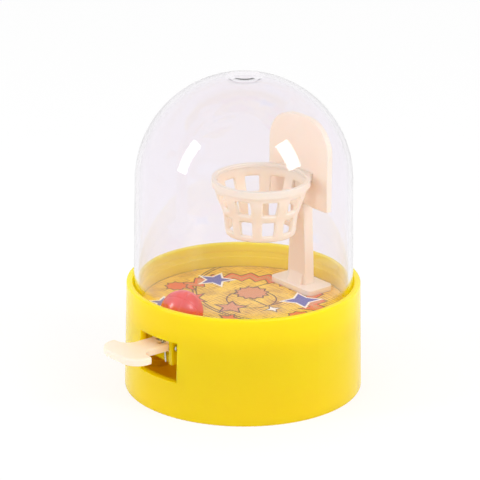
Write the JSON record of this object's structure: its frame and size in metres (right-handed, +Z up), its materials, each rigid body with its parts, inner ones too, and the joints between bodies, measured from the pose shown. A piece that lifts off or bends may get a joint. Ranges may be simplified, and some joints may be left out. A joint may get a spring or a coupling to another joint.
{
  "type": "tabletop basketball game",
  "caption": "Palm-sized finger basketball game: a round base with a printed court and a launch lever, a clear dome, a loose ball and a hoop with a net on a stand.",
  "frame": {"origin": "middle of the base's underside, on the table", "axes": "+Z up through the dome's crown; the launch lever points along -Y and the hoop stands on the +Y side; +X is to the right of a player who sits at the lever"},
  "size_m": [0.0572, 0.0672, 0.0771],
  "materials": {
    "yellow_shell": "gloss",
    "clear_dome": "gloss",
    "printed_card": "satin",
    "cream_plastic": "satin",
    "red_ball": "gloss",
    "spring_steel": "satin"
  },
  "bodies": {
    "base": {"base_shell": "yellow_shell", "bottom_cover": "yellow_shell", "cover_screws": "spring_steel", "court_plate": "yellow_shell", "court_card": "printed_card", "clear_dome": "clear_dome", "hoop_stand": "cream_plastic", "stand_clip": "spring_steel", "backboard": "cream_plastic", "rim_ring": "cream_plastic", "net_basket": "cream_plastic", "pivot_pin": "spring_steel", "pivot_bracket": "yellow_shell", "bracket_screws": "spring_steel", "return_spring": "spring_steel"},
    "lever": {"launch_lever": "cream_plastic"},
    "ball": {"game_ball": "red_ball"}
  },
  "joints": [
    {"name": "lever_press", "type": "hinge", "parent": "base", "child": "lever", "pos_m": [0, -0.0236, 0.0157], "axis": [1, 0, 0], "range_deg": [0, 44], "stiffness_Nm_per_rad": 0.004, "springref_deg": -28.65, "deforming": ["return_spring"]},
    {"name": "ball_launch", "type": "slide", "parent": "base", "child": "ball", "axis": [0, 0, 1], "range_m": [0, 0.025]}
  ],
  "couplings": [
    {"joint": "ball_launch", "follows": "lever_press", "m_per_rad": 0.0325}
  ]
}
